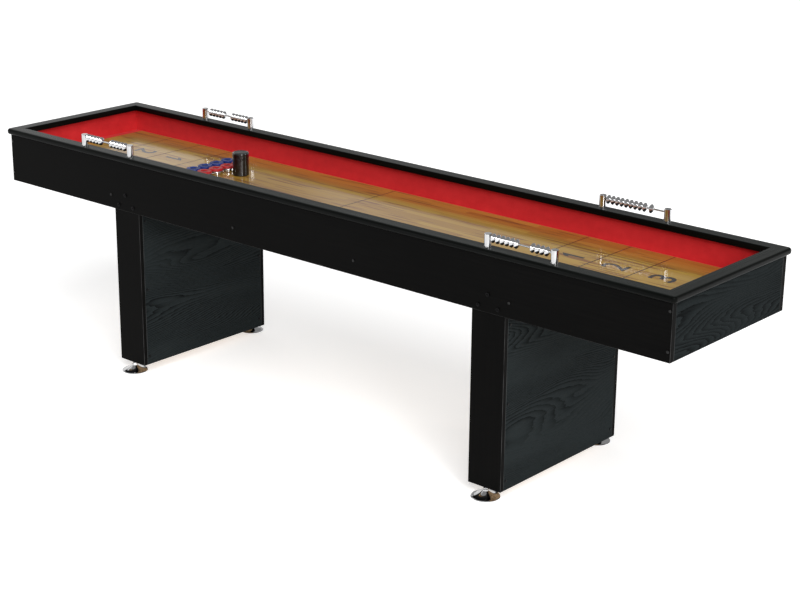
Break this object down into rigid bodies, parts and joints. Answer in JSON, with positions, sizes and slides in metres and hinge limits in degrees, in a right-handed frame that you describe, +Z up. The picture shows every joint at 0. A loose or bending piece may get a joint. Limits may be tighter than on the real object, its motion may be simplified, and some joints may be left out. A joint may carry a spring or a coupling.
{
  "type": "shuffleboard table",
  "caption": "Long shuffleboard table: lined cabinet on two box pedestals, gloss playfield between gutters, bead scorers, pucks and powder can.",
  "frame": {"origin": "on the floor, under the centre of the table", "axes": "+X along the table, +Y across it away from the front apron, +Z up"},
  "size_m": [2.743, 0.641, 0.7915],
  "materials": {
    "black_satin": "satin black laminate on board",
    "black_oak": "black oak-grain laminate, low sheen",
    "rail_black": "satin black, fine lengthwise grain",
    "board_wood": "plain particle board, matt",
    "raw_wood": "plain softwood, matt",
    "playfield_print": "gloss coating over printed maple",
    "red_liner": "red flocked vinyl, low sheen",
    "chrome": "polished chrome plate",
    "steel_screw": "zinc-plated steel",
    "black_screw": "black oxide",
    "brass_insert": "plain brass",
    "cap_blue": "moulded, gloss",
    "cap_red": "moulded, gloss",
    "can_black": "moulded, gloss"
  },
  "bodies": {
    "table": {"apron_screws": "steel_screw", "back_apron": "black_satin", "back_rail": "rail_black", "bottom_board": "board_wood", "cabinet_battens": "raw_wood", "cross_beams": "raw_wood", "front_apron": "black_satin", "front_rail": "rail_black", "gutter_liner": "red_liner", "left_end_panel": "black_oak", "left_leg_end_panels": "black_satin", "left_leg_inner_panel": "black_oak", "left_leg_outer_panel": "black_oak", "left_rail": "rail_black", "leg_base_boards": "board_wood", "leg_battens": "raw_wood", "leg_bolts": "black_screw", "leg_mounting_blocks": "raw_wood", "leg_panel_screws": "black_screw", "leveler_inserts": "brass_insert", "playfield_board": "board_wood", "playfield_surface": "playfield_print", "right_end_panel": "black_oak", "right_leg_end_panels": "black_satin", "right_leg_inner_panel": "black_oak", "right_leg_outer_panel": "black_oak", "right_rail": "rail_black", "scorer_posts": "chrome", "scorer_rods": "chrome", "wall_liners": "red_liner"},
    "beads_front_left_low": {"beads_front_left_low": "chrome"},
    "beads_front_left_high": {"beads_front_left_high": "chrome"},
    "beads_back_left_low": {"beads_back_left_low": "chrome"},
    "beads_back_left_high": {"beads_back_left_high": "chrome"},
    "beads_front_right_low": {"beads_front_right_low": "chrome"},
    "beads_front_right_high": {"beads_front_right_high": "chrome"},
    "beads_back_right_low": {"beads_back_right_low": "chrome"},
    "beads_back_right_high": {"beads_back_right_high": "chrome"},
    "puck_blue_1": {"puck_blue_1_weight": "chrome", "puck_blue_1_cap": "cap_blue"},
    "puck_blue_2": {"puck_blue_2_weight": "chrome", "puck_blue_2_cap": "cap_blue"},
    "puck_blue_3": {"puck_blue_3_weight": "chrome", "puck_blue_3_cap": "cap_blue"},
    "puck_blue_4": {"puck_blue_4_weight": "chrome", "puck_blue_4_cap": "cap_blue"},
    "puck_red_1": {"puck_red_1_weight": "chrome", "puck_red_1_cap": "cap_red"},
    "puck_red_2": {"puck_red_2_weight": "chrome", "puck_red_2_cap": "cap_red"},
    "puck_red_3": {"puck_red_3_weight": "chrome", "puck_red_3_cap": "cap_red"},
    "puck_red_4": {"puck_red_4_weight": "chrome", "puck_red_4_cap": "cap_red"},
    "powder_can": {"powder_can": "can_black"},
    "powder_can_lid": {"powder_can_lid": "can_black"},
    "leveler_front_left": {"leveler_front_left": "chrome"},
    "leveler_front_right": {"leveler_front_right": "chrome"},
    "leveler_back_left": {"leveler_back_left": "chrome"},
    "leveler_back_right": {"leveler_back_right": "chrome"}
  },
  "joints": [
    {"name": "beads_front_left_low_slide", "type": "slide", "parent": "table", "child": "beads_front_left_low", "axis": [1, 0, 0], "range_m": [0, 0.04]},
    {"name": "beads_front_left_high_slide", "type": "slide", "parent": "table", "child": "beads_front_left_high", "axis": [1, 0, 0], "range_m": [-0.04, 0.005]},
    {"name": "beads_back_left_low_slide", "type": "slide", "parent": "table", "child": "beads_back_left_low", "axis": [1, 0, 0], "range_m": [-0.012, 0.03]},
    {"name": "beads_back_left_high_slide", "type": "slide", "parent": "table", "child": "beads_back_left_high", "axis": [1, 0, 0], "range_m": [-0.03, 0.003]},
    {"name": "beads_front_right_low_slide", "type": "slide", "parent": "table", "child": "beads_front_right_low", "axis": [1, 0, 0], "range_m": [0, 0.039]},
    {"name": "beads_front_right_high_slide", "type": "slide", "parent": "table", "child": "beads_front_right_high", "axis": [1, 0, 0], "range_m": [-0.039, 0.006]},
    {"name": "beads_back_right_low_slide", "type": "slide", "parent": "table", "child": "beads_back_right_low", "axis": [1, 0, 0], "range_m": [-0.0015, 0.0065]},
    {"name": "beads_back_right_high_slide", "type": "slide", "parent": "table", "child": "beads_back_right_high", "axis": [1, 0, 0], "range_m": [-0.0065, 0.037]},
    {"name": "puck_blue_1_slide", "type": "slide", "parent": "table", "child": "puck_blue_1", "axis": [1, 0, 0], "range_m": [-0.566, 0]},
    {"name": "puck_blue_2_slide", "type": "slide", "parent": "table", "child": "puck_blue_2", "axis": [1, 0, 0], "range_m": [-0.566, 0]},
    {"name": "puck_blue_3_slide", "type": "slide", "parent": "table", "child": "puck_blue_3", "axis": [1, 0, 0], "range_m": [-0.566, 0]},
    {"name": "puck_blue_4_slide", "type": "slide", "parent": "table", "child": "puck_blue_4", "axis": [1, 0, 0], "range_m": [-0.566, 0]},
    {"name": "puck_red_1_slide", "type": "slide", "parent": "table", "child": "puck_red_1", "axis": [1, 0, 0], "range_m": [0, 1.785]},
    {"name": "puck_red_2_slide", "type": "slide", "parent": "table", "child": "puck_red_2", "axis": [1, 0, 0], "range_m": [0, 0.04]},
    {"name": "puck_red_3_slide", "type": "slide", "parent": "table", "child": "puck_red_3", "axis": [1, 0, 0], "range_m": [0, 0.02]},
    {"name": "puck_red_4_slide", "type": "slide", "parent": "table", "child": "puck_red_4", "axis": [1, 0, 0], "range_m": [0, 1.785]},
    {"name": "powder_can_lift", "type": "slide", "parent": "table", "child": "powder_can", "axis": [0, 0, 1], "range_m": [0, 0.15]},
    {"name": "powder_can_lid_lift", "type": "slide", "parent": "powder_can", "child": "powder_can_lid", "axis": [0, 0, 1], "range_m": [0, 0.04]},
    {"name": "leveler_front_left_screw", "type": "slide", "parent": "table", "child": "leveler_front_left", "axis": [0, 0, 1], "range_m": [-0.015, 0.003]},
    {"name": "leveler_front_right_screw", "type": "slide", "parent": "table", "child": "leveler_front_right", "axis": [0, 0, 1], "range_m": [-0.015, 0.003]},
    {"name": "leveler_back_left_screw", "type": "slide", "parent": "table", "child": "leveler_back_left", "axis": [0, 0, 1], "range_m": [-0.015, 0.003]},
    {"name": "leveler_back_right_screw", "type": "slide", "parent": "table", "child": "leveler_back_right", "axis": [0, 0, 1], "range_m": [-0.015, 0.003]}
  ]
}
